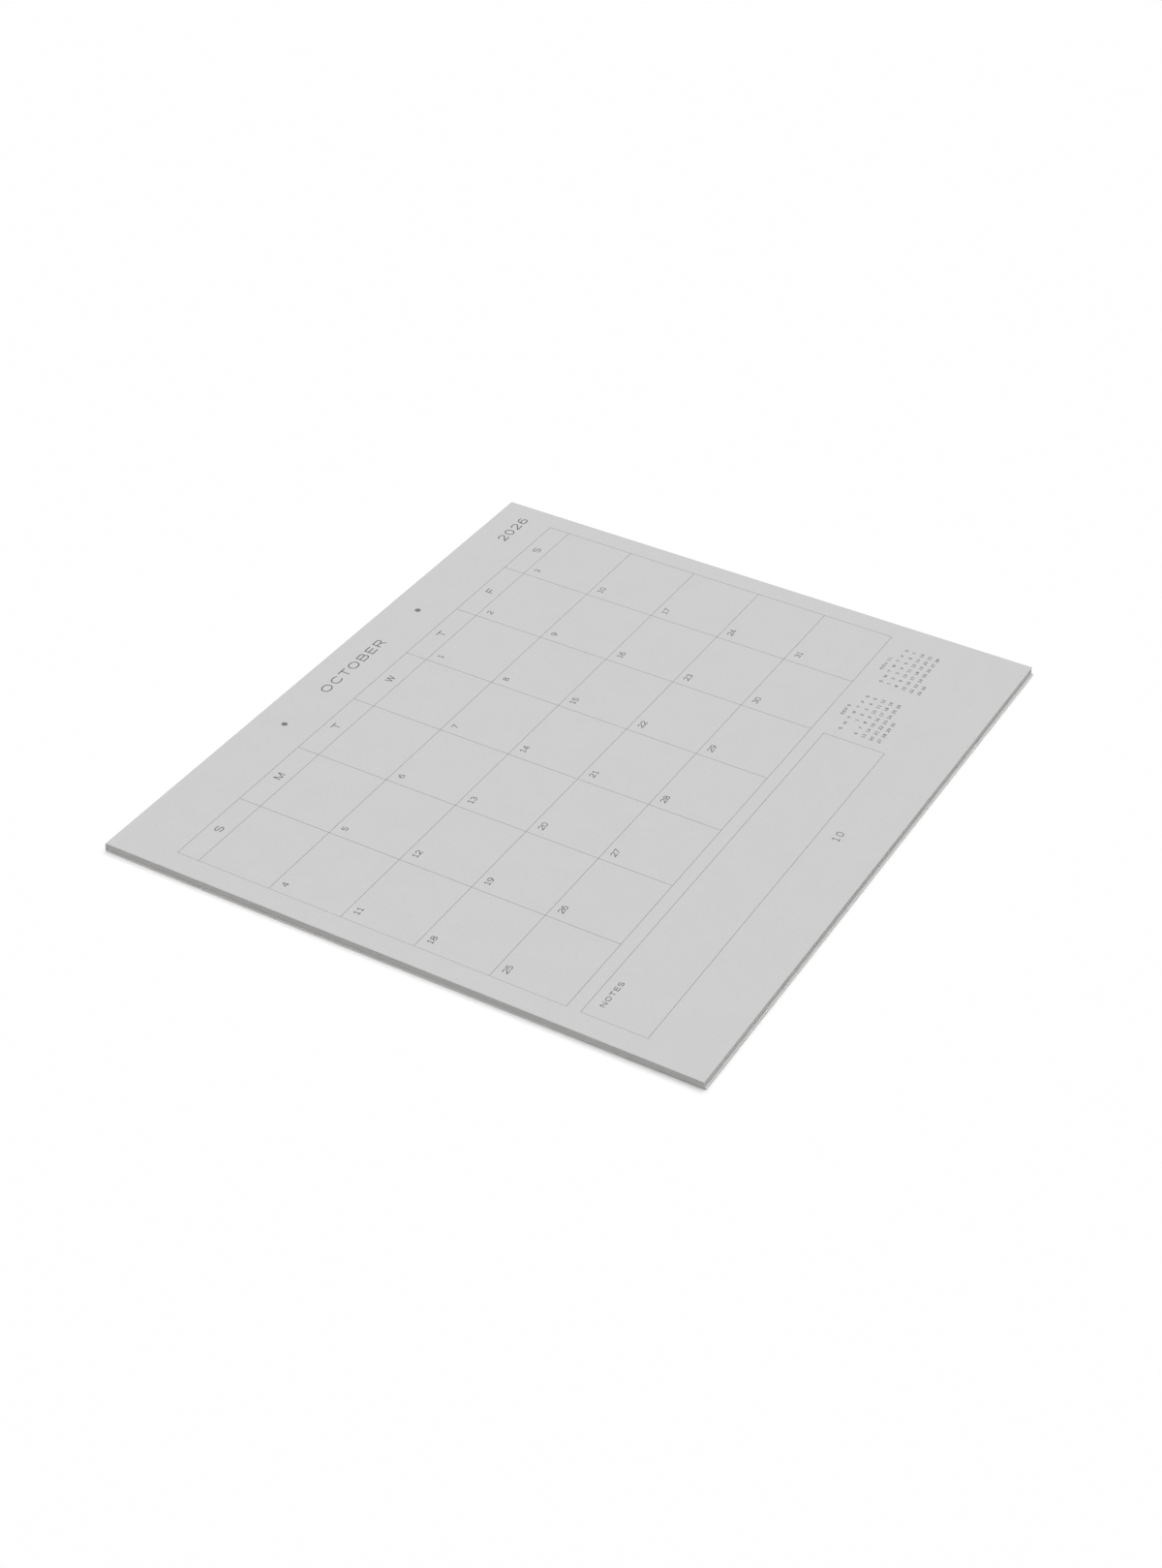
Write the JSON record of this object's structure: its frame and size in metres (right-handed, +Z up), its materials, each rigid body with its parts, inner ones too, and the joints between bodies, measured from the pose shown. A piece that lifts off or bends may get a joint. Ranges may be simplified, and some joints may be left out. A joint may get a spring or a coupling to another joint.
{
  "type": "tear-off month calendar pad",
  "caption": "Landscape tear-off month calendar pad: grey paper sheets on a thin backing board, glued along the top edge and drilled with hanging holes; each sheet lifts at that edge.",
  "frame": {"origin": "centre of the pad's footprint, on the surface that it lies on", "axes": "+X along the glued top edge, to the right of the printed page; +Y up the page, towards the glued edge; +Z up, out of the printed face"},
  "size_m": [0.382, 0.3232, 0.005],
  "materials": {
    "paper": "uncoated, matt",
    "board": "pressed grey board, matt",
    "glue": "dried padding glue, soft satin"
  },
  "bodies": {
    "pad": {"backing_board": "board", "binding_glue": "glue"},
    "sheet_12_september": {"sheet_12_september": "paper"},
    "sheet_11_august": {"sheet_11_august": "paper"},
    "sheet_10_july": {"sheet_10_july": "paper"},
    "sheet_09_june": {"sheet_09_june": "paper"},
    "sheet_08_may": {"sheet_08_may": "paper"},
    "sheet_07_april": {"sheet_07_april": "paper"},
    "sheet_06_march": {"sheet_06_march": "paper"},
    "sheet_05_february": {"sheet_05_february": "paper"},
    "sheet_04_january": {"sheet_04_january": "paper"},
    "sheet_03_december": {"sheet_03_december": "paper"},
    "sheet_02_november": {"sheet_02_november": "paper"},
    "sheet_01_october": {"sheet_01_october": "paper"}
  },
  "joints": [
    {"name": "lift_12", "type": "hinge", "parent": "pad", "child": "sheet_12_september", "pos_m": [0, 0.16085, 0.00496], "axis": [-1, 0, 0], "range_deg": [0, 7.5]},
    {"name": "lift_11", "type": "hinge", "parent": "sheet_12_september", "child": "sheet_11_august", "pos_m": [0, 0.16085, 0.00496], "axis": [-1, 0, 0], "range_deg": [0, 7.5]},
    {"name": "lift_10", "type": "hinge", "parent": "sheet_11_august", "child": "sheet_10_july", "pos_m": [0, 0.16085, 0.00496], "axis": [-1, 0, 0], "range_deg": [0, 7.5]},
    {"name": "lift_09", "type": "hinge", "parent": "sheet_10_july", "child": "sheet_09_june", "pos_m": [0, 0.16085, 0.00496], "axis": [-1, 0, 0], "range_deg": [0, 7.5]},
    {"name": "lift_08", "type": "hinge", "parent": "sheet_09_june", "child": "sheet_08_may", "pos_m": [0, 0.16085, 0.00496], "axis": [-1, 0, 0], "range_deg": [0, 7.5]},
    {"name": "lift_07", "type": "hinge", "parent": "sheet_08_may", "child": "sheet_07_april", "pos_m": [0, 0.16085, 0.00496], "axis": [-1, 0, 0], "range_deg": [0, 7.5]},
    {"name": "lift_06", "type": "hinge", "parent": "sheet_07_april", "child": "sheet_06_march", "pos_m": [0, 0.16085, 0.00496], "axis": [-1, 0, 0], "range_deg": [0, 7.5]},
    {"name": "lift_05", "type": "hinge", "parent": "sheet_06_march", "child": "sheet_05_february", "pos_m": [0, 0.16085, 0.00496], "axis": [-1, 0, 0], "range_deg": [0, 7.5]},
    {"name": "lift_04", "type": "hinge", "parent": "sheet_05_february", "child": "sheet_04_january", "pos_m": [0, 0.16085, 0.00496], "axis": [-1, 0, 0], "range_deg": [0, 7.5]},
    {"name": "lift_03", "type": "hinge", "parent": "sheet_04_january", "child": "sheet_03_december", "pos_m": [0, 0.16085, 0.00496], "axis": [-1, 0, 0], "range_deg": [0, 7.5]},
    {"name": "lift_02", "type": "hinge", "parent": "sheet_03_december", "child": "sheet_02_november", "pos_m": [0, 0.16085, 0.00496], "axis": [-1, 0, 0], "range_deg": [0, 7.5]},
    {"name": "lift_01", "type": "hinge", "parent": "sheet_02_november", "child": "sheet_01_october", "pos_m": [0, 0.16085, 0.00496], "axis": [-1, 0, 0], "range_deg": [0, 90]}
  ]
}
